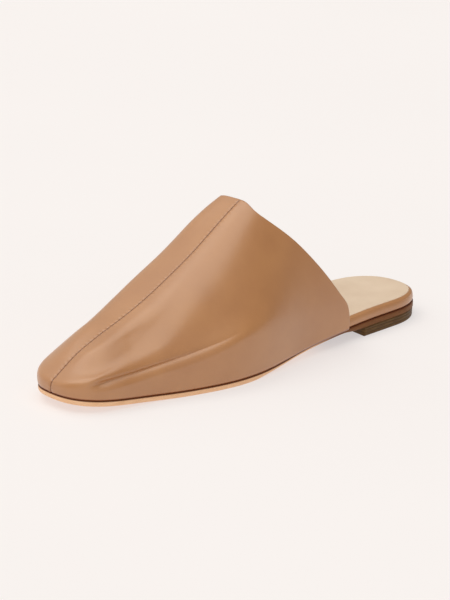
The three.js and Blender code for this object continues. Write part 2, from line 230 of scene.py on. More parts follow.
# %% The way round the sole's edge
SIDE_RATE = (1 - TOE_DEPTH) / (1 - TOE_ROUND)
SEAT_WAY = TOE_ROUND + (1 - SEAT_DEPTH - TOE_DEPTH) / SIDE_RATE


def around(way):
    """Station along the shoe and fullness of its width, for a way from toe tip (0) to heel (1)."""
    way = np.clip(way, 0, 1)
    toe = np.clip(way / TOE_ROUND, 0, 1) * np.pi / 2
    seat = np.clip((1 - way) / (1 - SEAT_WAY), 0, 1) * np.pi / 2
    toe_s = TOE_DEPTH * (1 - np.clip(np.cos(toe), 0, 1) ** (2 / TOE_POWER))
    seat_s = 1 - SEAT_DEPTH * (1 - np.clip(np.cos(seat), 0, 1) ** (2 / SEAT_POWER))
    side_s = TOE_DEPTH + (way - TOE_ROUND) * SIDE_RATE
    s = np.where(way < TOE_ROUND, toe_s, np.where(way > SEAT_WAY, seat_s, side_s))
    full = np.clip(np.sin(toe), 0, 1) ** (2 / TOE_POWER) * np.clip(np.sin(seat), 0, 1) ** (2 / SEAT_POWER)
    return s, full


def way_of(s):
    return TOE_ROUND + (s - TOE_DEPTH) / SIDE_RATE


def edge(way, side):
    s, full = around(way)
    return side * SIDES[side]["half"](s) * BALL * full, (s - 0.5) * LENGTH


def edge_out(way, side, out):
    """Point on the edge moved outward, square to the edge."""
    x, y = edge(way, side)
    ax, ay = edge(way - 0.002, side)
    bx, by = edge(way + 0.002, side)
    dx = np.where(way <= 0, side, np.where(way >= 1, -side, bx - ax))
    dy = np.where((way <= 0) | (way >= 1), 0.0, by - ay)
    length = np.hypot(dx, dy)
    return x + side * dy / length * out, y - side * dx / length * out


def flare(s):
    return FLARE * smooth((s - 0.4) / 0.35)


def footbed_out(s):
    return flare(s) - WALL - GAP


def toe_room(way):
    return TOE_ROOM * (1 - np.clip(way / 0.25, 0, 1)) ** 1.5


# %% [markdown]
# ## Camera and light
# The camera stands off the outer front quarter of the shoe, a little above it, at a distance that
# keeps the feet-away perspective of a shop photograph. A pale floor fills the whole view and glows a
# little, as an overexposed backdrop does. One large soft box overhead gives the broad sheen on the
# toe. A weaker light from the front, one from the left and dim surroundings fill the shadows. They
# are soft patches on the sky, because what shows in the leather is their mirror image, not lamps.

# %% Camera
AZIMUTH = math.radians(49.5)
ELEVATION = math.radians(18.1)
DISTANCE = 1.5
# Across and up in the picture from the middle of the shoe, in metres
STANDS_AT = (-0.0352, 0.034)
AIMS_AT = (-0.0049, 0.0291)
LENS = 164
SENSOR = 36
right = Vector((math.cos(AZIMUTH), math.sin(AZIMUTH), 0))
front = Vector((math.sin(AZIMUTH), -math.cos(AZIMUTH), 0))
back = Vector((
    math.sin(AZIMUTH) * math.cos(ELEVATION),
    -math.cos(AZIMUTH) * math.cos(ELEVATION),
    math.sin(ELEVATION),
))
up = back.cross(right)
middle = Vector((MIDLINE, 0, 0))

camera = bpy.data.objects.new("camera", bpy.data.cameras.new("camera"))
bpy.context.scene.collection.objects.link(camera)
bpy.context.scene.camera = camera
camera.location = middle + right * STANDS_AT[0] + up * STANDS_AT[1] + back * DISTANCE
aim = middle + right * AIMS_AT[0] + up * AIMS_AT[1]
camera.data.sensor_width = SENSOR
camera.data.lens = LENS
camera.rotation_euler = (camera.location - aim).to_track_quat("Z", "Y").to_euler()
bpy.context.scene.view_settings.view_transform = "Standard"
print("camera at", [round(value, 3) for value in camera.location])

# %% [markdown]
# ## Colours and nodes
# Colours are written as the sRGB values that a maker would pick from a swatch, and one function
# turns them to linear light. Materials could be put together by hand in the node editor. One small
# function that adds a node, with its settings, links and colour stops, keeps each recipe readable.

# %% Colour and node helpers
def linear(swatch):
    """sRGB hex to linear RGBA."""
    parts = [int(swatch[i:i + 2], 16) / 255 for i in (1, 3, 5)]
    light = [c / 12.92 if c <= 0.04045 else ((c + 0.055) / 1.055) ** 2.4 for c in parts]
    return (*light, 1.0)


def add(tree, kind, inputs=None, stops=(), **settings):
    """New node with its settings, its fixed inputs, its links and its colour stops."""
    node = tree.nodes.new(kind)
    for name, value in settings.items():
        setattr(node, name, value)
    for socket, value in (inputs or {}).items():
        if isinstance(value, bpy.types.NodeSocket):
            tree.links.new(value, node.inputs[socket])
        else:
            node.inputs[socket].default_value = value
    for i, (position, swatch) in enumerate(stops):
        node.color_ramp.elements[i].position = position
        node.color_ramp.elements[i].color = linear(swatch)
    return node


def blank(name):
    """Empty material, its node tree and its output."""
    material = bpy.data.materials.new(name)
    material.use_nodes = True
    material.node_tree.nodes.clear()
    return material, material.node_tree, add(material.node_tree, "ShaderNodeOutputMaterial")


# %% Pale surroundings with soft patches of light
# Strength of the light that comes from everywhere
DIM = 0.26
world = bpy.data.worlds.new("studio")
world.use_nodes = True
bpy.context.scene.world = world
sky = world.node_tree
toward = add(sky, "ShaderNodeTexCoord").outputs["Generated"]


def soft_patch(centre, inner, outer, strength):
    """Light added round a direction, fading from an inner to an outer angle in degrees."""
    along = add(sky, "ShaderNodeVectorMath", {
        0: toward, 1: tuple(centre.normalized()),
    }, operation="DOT_PRODUCT")
    return add(sky, "ShaderNodeMapRange", {
        "Value": along.outputs["Value"], "To Min": 0.0, "To Max": strength,
        "From Min": math.cos(math.radians(outer)), "From Max": math.cos(math.radians(inner)),
    }, interpolation_type="SMOOTHSTEP").outputs["Result"]


overhead = soft_patch(Vector((0, 0, 0.95)) - right * 0.13, 28, 40, 1.68)
from_front = soft_patch(front + Vector((0, 0, 0.35)), 25, 60, 0.5)
from_left = soft_patch(Vector((0, 0, 0.4)) - right * 0.8 - front * 0.4, 25, 60, 0.55)
low_light = add(sky, "ShaderNodeMath", {0: from_front, 1: from_left}, operation="ADD")
both = add(sky, "ShaderNodeMath", {0: overhead, 1: low_light.outputs["Value"]}, operation="ADD")
all_round = add(sky, "ShaderNodeMath", {0: both.outputs["Value"], 1: DIM}, operation="ADD")
backdrop = sky.nodes["Background"]
backdrop.inputs["Color"].default_value = linear("#FFFCF5")
sky.links.new(all_round.outputs["Value"], backdrop.inputs["Strength"])

# %% Floor
paper, paper_tree, paper_output = blank("matt backdrop paper")
place = add(paper_tree, "ShaderNodeTexCoord").outputs["Object"]
fibre = add(paper_tree, "ShaderNodeTexNoise", {"Vector": place, "Scale": 3.0, "Detail": 2.0})
pale = add(paper_tree, "ShaderNodeValToRGB", {
    "Fac": fibre.outputs["Fac"],
}, stops=[(0.3, "#A8A4A1"), (0.7, "#AAA6A3")])
sheet = add(paper_tree, "ShaderNodeBsdfPrincipled", {
    "Base Color": pale.outputs["Color"], "Roughness": 0.9, "Specular IOR Level": 0.1,
    "Emission Color": linear("#FFFBFC"), "Emission Strength": 0.54,
})
paper_tree.links.new(sheet.outputs["BSDF"], paper_output.inputs["Surface"])
floor_mesh = bpy.data.meshes.new("floor")
floor_mesh.from_pydata([(-6, -6, 0), (6, -6, 0), (6, 6, 0), (-6, 6, 0)], [], [(0, 1, 2, 3)])
floor_mesh.materials.append(paper)
floor = bpy.data.objects.new("floor", floor_mesh)
bpy.context.scene.collection.objects.link(floor)

# %% [markdown]
# ## Helpers for meshes
# Every piece is a few sheets of points over the last. They could be modelled by hand and joined, but
# here the sheets share their border points, so welding them gives one closed mesh whose faces can all
# be turned outwards. A number on each point, such as the height above the sole, is kept with the mesh
# where a material reads it.

# %% Mesh helpers
WELD = 2e-7


def piece(name, sheets, material, marks=None):
    """Closed smooth mesh, faces outwards, from sheets of points, each with True if turned over."""
    points, faces, first = [], [], 0
    for sheet_points, turned in sheets:
        rows, columns = sheet_points.shape[:2]
        index = first + np.arange(rows * columns).reshape(rows, columns)
        first += rows * columns
        corners = [index[:-1, :-1], index[1:, :-1], index[1:, 1:], index[:-1, 1:]]
        quads = np.stack(corners, axis=-1).reshape(-1, 4)
        # The corner listed first also sets the diagonal that a twisted face bends along
        faces.append(quads[:, ::-1] if turned else quads)
        points.append(sheet_points.reshape(-1, 3))
    points = np.concatenate(points)
    mesh = bpy.data.meshes.new(name)
    mesh.from_pydata((points + (MIDLINE, 0, 0)).tolist(), [], np.concatenate(faces).tolist())
    welded = bmesh.new()
    welded.from_mesh(mesh)
    bmesh.ops.remove_doubles(welded, verts=welded.verts, dist=WELD)
    bmesh.ops.triangulate(welded, faces=[f for f in welded.faces if len(f.verts) > 4])
    bmesh.ops.recalc_face_normals(welded, faces=welded.faces)
    loose = sum(1 for line in welded.edges if not line.is_contiguous)
    volume = welded.calc_volume(signed=True)
    welded.to_mesh(mesh)
    welded.free()
    mesh.polygons.foreach_set("use_smooth", [True] * len(mesh.polygons))
    mesh.materials.append(material)
    made = bpy.data.objects.new(name, mesh)
    bpy.context.scene.collection.objects.link(made)
    place = np.empty(len(mesh.vertices) * 3)
    mesh.vertices.foreach_get("co", place)
    place = place.reshape(-1, 3) - (MIDLINE, 0, 0)
    for mark, measure in (marks or {}).items():
        kept = mesh.attributes.new(mark, "FLOAT", "POINT")
        kept.data.foreach_set("value", measure(place).astype(np.float32))
    triangles = sum(len(face.vertices) - 2 for face in mesh.polygons)
    print(f"{name}: {triangles} triangles, {loose} open edges, {volume * 1e6:.1f} cm3")
    return made


def height_above_sole(place):
    return place[:, 2] - feather_height(station_of(place[:, 1])) - GAP


# %% [markdown]
# ## The upper's surface
# Ribs run from the sole's edge up to the centre seam. Each rib is a smooth blend of eight control
# points: a slightly bellied wall, a ridge, a hollow above it, the crest of the foot, and a level
# stretch that meets the seam. Round the toe the ribs fan out from the start of the seam. A
# subdivided cage could be pushed into this shape by hand, but the ribs keep every size exact.

# %% Surface of the upper
BLEND_KNOTS = (0, 0, 0, 0, 0.2, 0.4, 0.6, 0.8, 1, 1, 1, 1)


def blend_weights(level):
    """Weights of the eight control points at a level from the sole's edge (0) to the seam (1)."""
    knots = np.array(BLEND_KNOTS)
    at = np.clip(level, 0, 1 - 1e-9)
    weights = [((knots[i] <= at) & (at < knots[i + 1])).astype(float) for i in range(len(knots) - 1)]
    for degree in (1, 2, 3):
        wider = []
        for i in range(len(weights) - 1):
            before = knots[i + degree] - knots[i]
            after = knots[i + degree + 1] - knots[i + 1]
            rising = (at - knots[i]) / before * weights[i] if before > 0 else 0.0
            falling = (knots[i + degree + 1] - at) / after * weights[i + 1] if after > 0 else 0.0
            wider.append(rising + falling)
        weights = wider
    return weights


def seam_station(way):
    """Where a rib meets the seam: below itself on the foot, fanned together round the toe."""
    s, _ = around(way)
    joined, _ = around(FAN_JOIN)
    bow = (SIDE_RATE * FAN_JOIN - (joined - FAN_START)) / FAN_JOIN ** 2
    slope = SIDE_RATE - 2 * bow * FAN_JOIN
    return np.where(way >= FAN_JOIN, s, FAN_START + slope * way + bow * way ** 2)


def upper_point(way, level, side):
    s, full = around(way)
    x = side * (SIDES[side]["half"](s) * BALL + flare(s)) * full
    y = (s - 0.5) * LENGTH
    z = feather_height(s) + GAP
    target = seam_station(way)
    target_y = (target - 0.5) * LENGTH
    rise = seam_height(target) - z
    pitch = (seam_height(target + 0.001) - seam_height(target - 0.001)) / (0.002 * LENGTH)
    lean = pitch * (target_y - y) / rise
    row = {name: column(way) for name, column in SIDES[side]["section"].items()}
    weight = blend_weights(level)
    inward = (
        -(weight[1] + weight[2]) * row["belly"] + weight[3] * row["ridge_in"] + weight[4] * row["hollow_in"]
        + weight[5] * row["crest_in"] + weight[6] * (1 - row["flat"]) + weight[7]
    )
    upward = (
        (0.33 * weight[1] + 0.75 * weight[2] + weight[3]) * row["ridge_up"] + weight[4] * row["hollow_up"]
        + weight[5] * row["crest_up"] + weight[6] * (1 - row["flat"] * lean) + weight[7]
    )
    return np.stack([x * (1 - inward), mix(y, target_y, inward), z + rise * upward], axis=-1)


# %% [markdown]
# ## Creases
# The leather still shows how it was pulled over the last. Along the outer side it steps in over a
# ledge that starts at the corner of the toe, and above the steep wall it swells to a full brow. The
# throat is set a little full on the inner side, and the top of the toe is slightly flattened. The
# centre seam is a narrow cleft, because each panel's edge is turned in before they are joined. At
# the bottom the leather turns under. All of these are soft steps and bells on the plain last, in
# metres. Sculpting would give the same look, but here each crease keeps a size that can be changed.

# %% Relief of the leather
SEAM_DEPTH = 0.0004
SEAM_WIDTH = 0.00035
SEAM_SHOULDER = 0.00005
SHOULDER_AT = 0.0017
SHOULDER_WIDTH = 0.0009
TURN_UNDER = 0.0005
TURN_HEIGHT = 0.0014
CROWN_LEAN = 0.0003
CROWN_FULL = 0.0014
TOE_FLAT = 0.0016

# The crease on the outer side, at places on the way round: the levels where the leather starts to go
# in, lies deepest, stands fullest and is plain again, then how deep and how full in metres
CREASE_COLUMNS = ("at", "start", "bottom", "brow", "end", "deep", "full")
CREASE = [
    (0.115, 0.085, 0.180, 0.320, 0.440, 0.0, 0.0),
    (0.136, 0.092, 0.195, 0.400, 0.500, 0.0015, 0.0001),
    (0.154, 0.098, 0.210, 0.460, 0.570, 0.0027, 0.0002),
    (0.180, 0.108, 0.235, 0.500, 0.620, 0.0030, 0.0003),
    (0.205, 0.124, 0.258, 0.540, 0.660, 0.0031, 0.0005),
    (0.230, 0.143, 0.280, 0.555, 0.690, 0.0031, 0.0008),
    (0.257, 0.162, 0.302, 0.565, 0.730, 0.0031, 0.0011),
    (0.300, 0.178, 0.320, 0.600, 0.790, 0.0030, 0.0015),
    (0.340, 0.192, 0.335, 0.650, 0.840, 0.0028, 0.0018),
    (0.393, 0.228, 0.360, 0.700, 0.890, 0.0019, 0.0018),
    (0.440, 0.280, 0.390, 0.720, 0.900, 0.0007, 0.0014),
    (0.500, 0.300, 0.400, 0.740, 0.900, 0.0, 0.0007),
    (0.560, 0.300, 0.400, 0.740, 0.900, 0.0, 0.0),
]
crease = {name: curve(CREASE_COLUMNS, CREASE, name) for name in CREASE_COLUMNS[1:]}


def bell(x, centre, width):
    return np.exp(-((x - centre) / width) ** 2)


def folds(way, level, side):
    """Soft form that leather and lining share: the crease of the toe and the set of the crown."""
    held = smooth((1 - level) / 0.12)
    if side < 0:
        return CROWN_FULL * bell(level, 0.8, 0.12) * bell(way, 0.52, 0.06) * held
    fold = {name: column(way) for name, column in crease.items()}
    step = (level - fold["start"]) / (fold["bottom"] - fold["start"])
    sink = mix(np.clip(step, 0, 1), smooth(step), 0.4)
    swell = smooth((level - fold["bottom"]) / (fold["brow"] - fold["bottom"]))
    settle = smooth((level - fold["brow"]) / (fold["end"] - fold["brow"]))
    lean = CROWN_LEAN * bell(level, 0.87, 0.10) * smooth((way - 0.42) / 0.13)
    lean = lean + TOE_FLAT * bell(level, 0.78, 0.11) * bell(way, 0.23, 0.075)
    return fold["deep"] * (swell - sink) + fold["full"] * (swell - settle) - lean * held


def relief(points):
    """Fine form of the leather alone: the seam's cleft and the edge turned under."""
    across = np.abs(points[..., 0])
    height = points[..., 2] - feather_height(station_of(points[..., 1])) - GAP
    shoulder = SEAM_SHOULDER * bell(across, SHOULDER_AT, SHOULDER_WIDTH)
    cleft = SEAM_DEPTH * np.exp(-across / SEAM_WIDTH)
    return shoulder - cleft - TURN_UNDER * np.clip(1 - height / TURN_HEIGHT, 0, 1) ** 2


# %% [markdown]
# ## Grid of the upper
# Leather has no grid, but its mesh needs one, and it is close where the leather does something small:
# at the seam, round the toe's centre line, at the topline and at the feather line, where the upper
# turns under on to the sole. An even grid fine enough for the seam would be ten times as heavy.

# %% Ribs and levels
def spread(stops):
    """Places from 0 to 1, from (end, steps) pairs."""
    places = [0.0]
    for end, steps in stops:
        places.extend(np.linspace(places[-1], end, steps + 1)[1:])
    return np.array(places)


# Distances from the centre line at the toe where ribs leave the sole, in metres
TOE_RIBS_AT = np.array([0.0002, 0.0005, 0.0009, 0.0015, 0.0024, 0.0038, 0.006])
toe_ways = TOE_ROUND * 2 / np.pi * np.arcsin((TOE_RIBS_AT / (0.33 * BALL)) ** (TOE_POWER / 2))
toe_ribs = np.concatenate([[0.0], toe_ways / way_of(TOPLINE[-1][1])])
side_ribs = toe_ribs[-1] + (1 - toe_ribs[-1]) * spread([(0.1, 14), (0.98, 104), (1.0, 6)])[1:]
RIBS = np.concatenate([toe_ribs, side_ribs])
TO_SEAM = np.array([0.94, 0.957, 0.97, 0.979, 0.985, 0.989, 0.992, 0.9945, 0.9965, 0.998, 0.999, 1.0])
LEVELS = np.concatenate([spread([(0.06, 7), (0.92, 58)]), TO_SEAM])
# The last rib ends this share of the way round before the topline, to leave room for the rolled edge
ROLL_BACK = 0.002


def topline_way(side):
    return way_of(SIDES[side]["top"](LEVELS)) - ROLL_BACK


def facing(points, side):
    """Outward normals of a grid of points."""
    normal = np.cross(np.gradient(points, axis=0), np.gradient(points, axis=1)) * side
    return normal / np.linalg.norm(normal, axis=-1, keepdims=True)


def upper_grid(ribs, ends):
    """Points and outward normals of both halves, the same along the centre line."""
    grids = {}
    for side in (1, -1):
        level = np.broadcast_to(LEVELS[None, :], (len(ribs), len(LEVELS)))
        way = ribs[:, None] * ends[side][None, :]
        points = upper_point(way, level, side)
        points = points + facing(points, side) * folds(way, level, side)[..., None]
        grids[side] = [points, facing(points, side)]
    for centre_line in (np.s_[0, :], np.s_[:, -1]):
        shared = grids[1][1][centre_line] + grids[-1][1][centre_line]
        shared /= np.linalg.norm(shared, axis=-1, keepdims=True)
        grids[1][1][centre_line] = shared
        grids[-1][1][centre_line] = shared
    return grids


leather_grid = upper_grid(RIBS, {side: topline_way(side) for side in (1, -1)})
print("upper grid", leather_grid[1][0].shape)


# %% [markdown]
# ## Smooth calf leather
# The upper is aniline calf, dyed through and lightly waxed. The eye reads a very fine grain, soft
# clouds of lighter and darker tan some centimetres wide, and a broad satin highlight. Along the
# seam the thread draws the panels in, so small puckers cross the line at every stitch. The narrow
# cleft of the seam is painted darker, as painted shade. At the feather line the cut edge is inked
# dark, and the same dark band is also painted shade for the gap between upper and sole. A picture
# of leather could give all this, but it would repeat and stretch. Noise on Object coordinates gives
# grain and clouds of a true size, and numbers kept on the mesh place the puckers, the ink and the
# painted shade.

# %% Camel calf
STITCH = 0.003
camel, tree, output = blank("camel aniline calf")
place = add(tree, "ShaderNodeTexCoord").outputs["Object"]
# Clouds in the dye are about 22 mm wide
clouds = add(tree, "ShaderNodeTexNoise", {"Vector": place, "Scale": 45.0, "Detail": 3.0})
tan = add(tree, "ShaderNodeValToRGB", {
    "Fac": clouds.outputs["Fac"],
}, stops=[(0.3, "#B27948"), (0.7, "#BB824F")])
from_seam = add(tree, "ShaderNodeAttribute", attribute_name="from_seam")
# Painted shade: the colour turns deep brown within half a millimetre of the seam line, where the cleft lies
# in shade
cleft_shade_fade = add(tree, "ShaderNodeMapRange", {
    "Value": from_seam.outputs["Fac"], "From Min": 0.0001, "From Max": 0.00055,
})
cleft = add(tree, "ShaderNodeMix", {
    "Factor": cleft_shade_fade.outputs["Result"], "A": linear("#804A26"), "B": tan.outputs["Color"],
}, data_type="RGBA")
# Feather line: partly real edge ink, partly painted shade of the gap between upper and sole, darkest within
# 0.2 mm of the sole
low = add(tree, "ShaderNodeAttribute", attribute_name="above_sole")
feather_ink_and_shade = add(tree, "ShaderNodeMapRange", {
    "Value": low.outputs["Fac"], "From Min": 0.0002, "From Max": 0.0009,
})
tan_ink_and_painted_shade = add(tree, "ShaderNodeMix", {
    "Factor": feather_ink_and_shade.outputs["Result"], "A": linear("#8E4A1E"), "B": cleft.outputs["Result"],
}, data_type="RGBA")
# Calf pores are about 0.2 mm apart, drawn at 0.8 mm so that they show
pores = add(tree, "ShaderNodeTexNoise", {"Vector": place, "Scale": 1200.0, "Detail": 2.0})
grain = add(tree, "ShaderNodeBump", {"Strength": 0.25, "Distance": 0.00005, "Height": pores.outputs["Fac"]})
# The leather lies in very shallow waves about 10 mm apart
sag = add(tree, "ShaderNodeTexNoise", {"Vector": place, "Scale": 95.0, "Detail": 2.0})
slack = add(tree, "ShaderNodeBump", {
    "Strength": 0.4, "Distance": 0.0004, "Height": sag.outputs["Fac"], "Normal": grain.outputs["Normal"],
})
run = add(tree, "ShaderNodeAttribute", attribute_name="seam_run")
turn = add(tree, "ShaderNodeMath", {0: run.outputs["Fac"], 1: 2 * math.pi / STITCH}, operation="MULTIPLY")
beat = add(tree, "ShaderNodeMath", {0: turn.outputs["Value"]}, operation="COSINE")
near = add(tree, "ShaderNodeMapRange", {
    "Value": from_seam.outputs["Fac"], "From Min": 0.0026, "From Max": 0.0002,
}, interpolation_type="SMOOTHSTEP")
pull = add(tree, "ShaderNodeMath", {
    0: beat.outputs["Value"], 1: near.outputs["Result"],
}, operation="MULTIPLY")
pucker = add(tree, "ShaderNodeBump", {
    "Strength": 0.8, "Distance": 0.0002, "Height": pull.outputs["Value"], "Normal": slack.outputs["Normal"],
})
skin = add(tree, "ShaderNodeBsdfPrincipled", {
    "Base Color": tan_ink_and_painted_shade.outputs["Result"],
    "Roughness": 0.38, "Specular IOR Level": 0.8, "Coat Weight": 0.5, "Coat Roughness": 0.33,
    "Normal": pucker.outputs["Normal"],
})
tree.links.new(skin.outputs["BSDF"], output.inputs["Surface"])

# %% [markdown]
# ## Lining leather
# Lining and sock are undyed goat, matt and pale, with a slightly coarser pore and faint clouds from
# the tanning. A plain pale colour would look like plastic, so two kinds of noise vary it a little.

# %% Cream goat
cream, tree, output = blank("cream goat lining")
place = add(tree, "ShaderNodeTexCoord").outputs["Object"]
# Clouds about 17 mm wide. Pores are about 0.3 mm apart, drawn at 1 mm so that they show
clouds = add(tree, "ShaderNodeTexNoise", {"Vector": place, "Scale": 60.0, "Detail": 4.0})
pores = add(tree, "ShaderNodeTexNoise", {"Vector": place, "Scale": 1000.0, "Detail": 2.0})
grain = add(tree, "ShaderNodeBump", {"Strength": 0.3, "Distance": 0.00008, "Height": pores.outputs["Fac"]})
pale = add(tree, "ShaderNodeValToRGB", {
    "Fac": clouds.outputs["Fac"],
}, stops=[(0.3, "#DBC4AD"), (0.72, "#E3CEB8")])
skin = add(tree, "ShaderNodeBsdfPrincipled", {
    "Base Color": pale.outputs["Color"], "Roughness": 0.7, "Specular IOR Level": 0.3,
    "Normal": grain.outputs["Normal"],
})
tree.links.new(skin.outputs["BSDF"], output.inputs["Surface"])

# %% [markdown]
# ## Upper and lining
# The outer leather is folded over the topline: it rolls round the edge and comes back a few
# millimetres inside, and the lining is butted to that fold. The leather is 0.9 mm and the lining
# 0.55 mm thick, together the thickness of the solid. A Solidify modifier gives one even wall, but the
# fold is thicker than the rest, so both faces of each wall are grids with their own distance.

# %% Walls of the upper
LEATHER = 0.0009
GLUE = 0.00005
FOLD = 0.0045
FOLD_EASE = 0.0006
BUTT_GAP = 0.0007
# Steps in each half of the rolled edge
HALF_ROLL = 4
seam_points = np.concatenate([leather_grid[1][0][0, :], leather_grid[1][0][1:, -1]])
seam_length = np.concatenate([[0], np.cumsum(np.linalg.norm(np.diff(seam_points, axis=0), axis=1))])
seam_order = seam_points[:, 1] + seam_points[:, 2]
print(f"seam {seam_length[-1] * 1000:.0f} mm long")


def seam_run(place):
    return np.interp(place[:, 1] + place[:, 2], seam_order, seam_length)


def from_edge(side):
    """Distance of every grid point from the topline, along its level."""
    points = leather_grid[side][0]
    return np.linalg.norm(points - points[-1:], axis=-1)


def calf_walls():
    sheets = []
    for side, (points, normal) in leather_grid.items():
        skin_side = points + normal * relief(points)[..., None]
        thick = mix(WALL, LEATHER, smooth((from_edge(side) - FOLD) / FOLD_EASE))
        flesh = points - normal * thick[..., None]
        skin_side[:, 0, 2] -= 0.8 * GAP
        flesh[:, 0, 2] = skin_side[:, 0, 2]
        outward = skin_side[-1] - skin_side[-2]
        outward /= np.linalg.norm(outward, axis=-1, keepdims=True)
        turns = np.linspace(0, np.pi, 2 * HALF_ROLL + 1)[:, None, None]
        centre = (skin_side[-1] + flesh[-1]) / 2
        roll = centre + (skin_side[-1] - centre) * np.cos(turns) + outward * (WALL / 2) * np.sin(turns)
        foot = np.stack([flesh[:, 0], skin_side[:, 0]], axis=1)
        roll_end = np.stack([roll[:HALF_ROLL - 1:-1, 0], roll[:HALF_ROLL + 1, 0]], axis=1)
        sheets += [(skin_side, side < 0), (flesh, side > 0), (roll, side < 0)]
        sheets += [(foot, side < 0), (roll_end, side < 0)]
    return sheets


def lining_walls():
    ends = {}
    for side in (1, -1):
        away = from_edge(side)
        shares = [np.interp(-(FOLD + BUTT_GAP), -away[:, j], RIBS) for j in range(len(LEVELS))]
        ends[side] = topline_way(side) * shares
    sheets = []
    for side, (points, normal) in upper_grid(RIBS, ends).items():
        glued = points - normal * (LEATHER + GLUE)
        shown = points - normal * WALL
        for sheet_points in (glued, shown):
            sheet_points[:, 0, 2] = points[:, 0, 2]
        foot = np.stack([shown[:, 0], glued[:, 0]], axis=1)
        rear = np.stack([glued[-1], shown[-1]], axis=0)
        sheets += [(glued, side < 0), (shown, side > 0), (foot, side < 0), (rear, side < 0)]
    return sheets


# above_sole places the feather-line ink and its painted shade; from_seam places the painted shade of the
# cleft and the puckers
upper_marks = {
    "above_sole": height_above_sole,
    "seam_run": seam_run,
    "from_seam": lambda place: np.abs(place[:, 0]),
}
upper = piece("upper_calf", calf_walls(), camel, upper_marks)
lining = piece("vamp_lining", lining_walls(), cream)
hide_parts("upper")
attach(upper, "root")
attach(lining, "root")

# %% [markdown]
# ## Seam thread
# The panels are closed with a brown thread that lies as a thin cord deep in the cleft, with a tiny
# bar across it at each stitch. Geometry Nodes sweep the cord along the cleft, put one small capsule
# at every step, turn each a little so that no two are quite alike, and join all into one mesh.

# %% Thread along the seam
THREAD = 0.00016
BAR = 0.00035
thread_material, tree, output = blank("waxed polyester thread")
thread_skin = add(tree, "ShaderNodeBsdfPrincipled", {
    "Base Color": linear("#6E4020"), "Roughness": 0.85, "Specular IOR Level": 0.1,
})
tree.links.new(thread_skin.outputs["BSDF"], output.inputs["Surface"])


def thread_tree():
    tree = bpy.data.node_groups.new("thread along a seam", "GeometryNodeTree")
    tree.interface.new_socket("Geometry", in_out="INPUT", socket_type="NodeSocketGeometry")
    tree.interface.new_socket("Stitch", in_out="INPUT", socket_type="NodeSocketFloat")
    tree.interface.new_socket("Bar", in_out="INPUT", socket_type="NodeSocketFloat")
    tree.interface.new_socket("Thread", in_out="INPUT", socket_type="NodeSocketFloat")
    tree.interface.new_socket("Geometry", in_out="OUTPUT", socket_type="NodeSocketGeometry")
    given = add(tree, "NodeGroupInput").outputs
    line = add(tree, "GeometryNodeMeshToCurve", {"Mesh": given["Geometry"]})
    steps = add(tree, "GeometryNodeResampleCurve", {
        "Curve": line.outputs["Curve"], "Length": given["Stitch"],
    }, mode="LENGTH")
    bar = add(tree, "GeometryNodeMeshUVSphere", {"Segments": 8, "Rings": 6, "Radius": 1.0})
    size = add(tree, "ShaderNodeCombineXYZ", {"X": given["Bar"], "Y": given["Thread"], "Z": given["Thread"]})
    tilt = add(tree, "FunctionNodeRandomValue", data_type="FLOAT_VECTOR")
    tilt.inputs["Min"].default_value = (0, -0.15, -0.3)
    tilt.inputs["Max"].default_value = (0, 0.15, 0.3)
    tilt.inputs["Seed"].default_value = 7
    placed = add(tree, "GeometryNodeInstanceOnPoints", {
        "Points": steps.outputs["Curve"], "Instance": bar.outputs["Mesh"],
        "Rotation": tilt.outputs["Value"], "Scale": size.outputs["Vector"],
    })
    round_cord = add(tree, "GeometryNodeCurvePrimitiveCircle", {
        "Resolution": 6, "Radius": given["Thread"],
    }, mode="RADIUS")
    cord = add(tree, "GeometryNodeCurveToMesh", {
        "Curve": line.outputs["Curve"], "Profile Curve": round_cord.outputs["Curve"], "Fill Caps": True,
    })
    joined = add(tree, "GeometryNodeJoinGeometry")
    tree.links.new(placed.outputs["Instances"], joined.inputs["Geometry"])
    tree.links.new(cord.outputs["Mesh"], joined.inputs["Geometry"])
    real = add(tree, "GeometryNodeRealizeInstances", {"Geometry": joined.outputs["Geometry"]})
    painted = add(tree, "GeometryNodeSetMaterial", {
        "Geometry": real.outputs["Geometry"], "Material": thread_material,
    })
    add(tree, "NodeGroupOutput", {"Geometry": painted.outputs["Geometry"]})
    return tree


def realized(name, path, tree, sizes):
    """Plain mesh from a Geometry Nodes tree run on a line of points."""
    line = bpy.data.meshes.new(name + "_path")
    line.from_pydata((path + (MIDLINE, 0, 0)).tolist(), [(i, i + 1) for i in range(len(path) - 1)], [])
    source = bpy.data.objects.new(name + "_source", line)
    bpy.context.scene.collection.objects.link(source)
    nodes = source.modifiers.new("nodes", "NODES")
    nodes.node_group = tree
    for socket in tree.interface.items_tree:
        if socket.item_type == "SOCKET" and socket.in_out == "INPUT" and socket.name in sizes:
            nodes[socket.identifier] = sizes[socket.name]
    evaluated = source.evaluated_get(bpy.context.evaluated_depsgraph_get())
    mesh = bpy.data.meshes.new_from_object(evaluated)
    mesh.name = name
    mesh.polygons.foreach_set("use_smooth", [True] * len(mesh.polygons))
    made = bpy.data.objects.new(name, mesh)
    bpy.context.scene.collection.objects.link(made)
    bpy.data.objects.remove(source)
    print(f"{name}: {len(mesh.polygons)} faces")
    return made


seam_normals = np.concatenate([leather_grid[1][1][0, :], leather_grid[1][1][1:, -1]])
# The thread starts three points above the sole and ends a stitch short of the topline
shown_seam = seam_length < seam_length[-1] - STITCH
thread_path = (seam_points - seam_normals * SEAM_DEPTH)[shown_seam][3:]
thread_sizes = {"Stitch": STITCH, "Bar": BAR, "Thread": THREAD}
thread = realized("seam_thread", thread_path, thread_tree(), thread_sizes)
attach(thread, "root")

